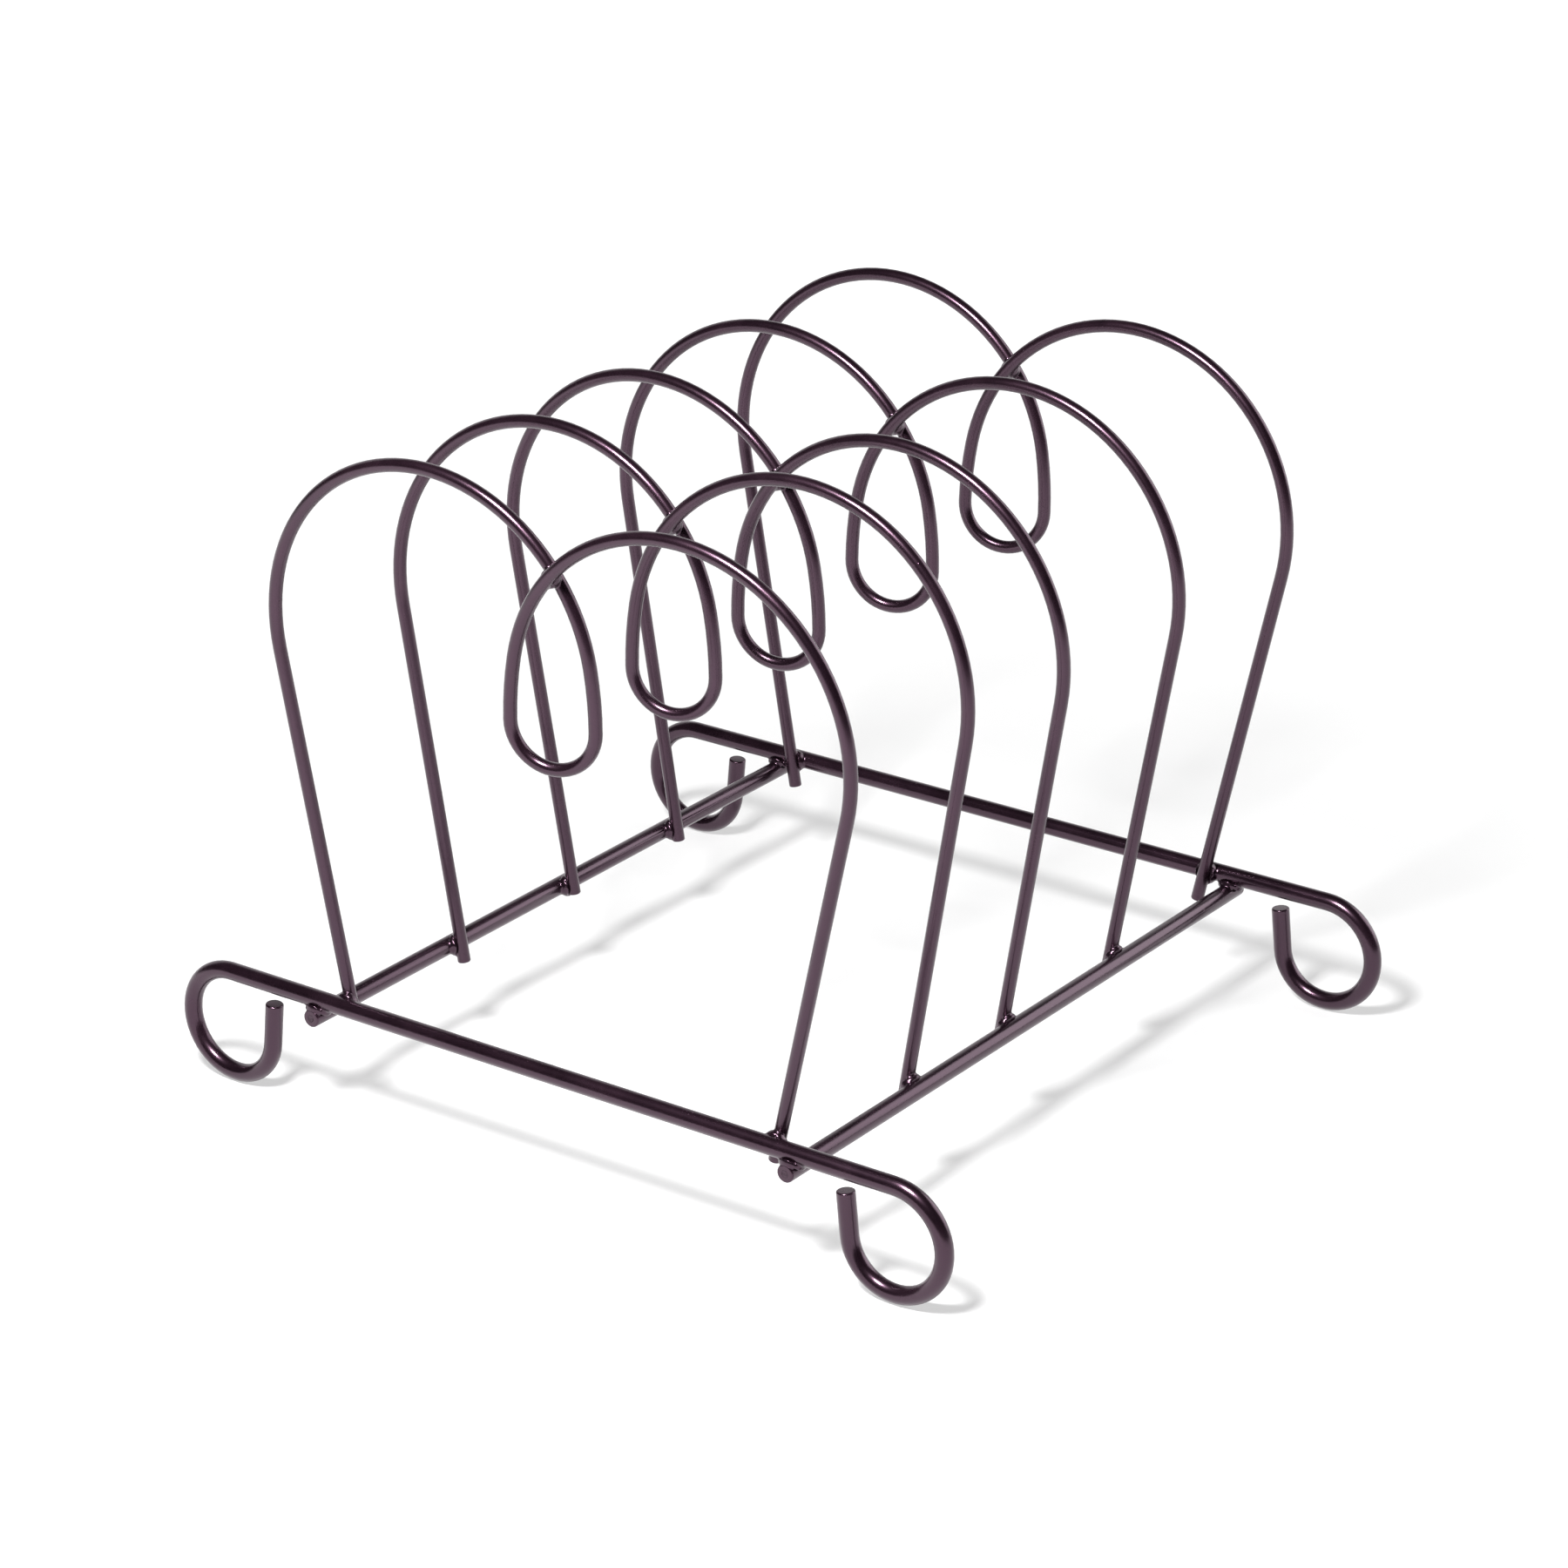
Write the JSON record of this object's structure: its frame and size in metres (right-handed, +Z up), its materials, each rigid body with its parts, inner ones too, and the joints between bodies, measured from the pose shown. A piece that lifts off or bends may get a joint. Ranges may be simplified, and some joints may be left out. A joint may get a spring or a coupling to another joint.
{
  "type": "plate display stand",
  "caption": "Welded wire rack with curled feet, two rails and double-arched dividers that hold plates on edge.",
  "frame": {"origin": "on the table surface, under the middle of the rack", "axes": "+X along the crossbars, +Y from the front crossbar to the rear one, +Z up"},
  "size_m": [0.243, 0.2111, 0.1845],
  "materials": {
    "wire_coating": "glossy near-black aubergine-brown coating over steel wire",
    "weld_coating": "the same glossy coating, pooled round the welds"
  },
  "bodies": {
    "root": {"front_crossbar": "wire_coating", "rear_crossbar": "wire_coating", "left_rail": "wire_coating", "right_rail": "wire_coating", "divider_1": "wire_coating", "divider_2": "wire_coating", "divider_3": "wire_coating", "divider_4": "wire_coating", "divider_5": "wire_coating", "frame_weld_front_left": "weld_coating", "frame_weld_front_right": "weld_coating", "frame_weld_rear_left": "weld_coating", "frame_weld_rear_right": "weld_coating", "leg_weld_2_left": "weld_coating", "leg_weld_2_right": "weld_coating", "leg_weld_3_left": "weld_coating", "leg_weld_3_right": "weld_coating", "leg_weld_4_left": "weld_coating", "leg_weld_4_right": "weld_coating", "end_weld_front_left": "weld_coating", "end_weld_front_right": "weld_coating", "end_weld_rear_left": "weld_coating", "end_weld_rear_right": "weld_coating", "loop_weld_1": "weld_coating", "loop_weld_2": "weld_coating", "loop_weld_3": "weld_coating", "loop_weld_4": "weld_coating", "loop_weld_5": "weld_coating"}
  },
  "joints": []
}
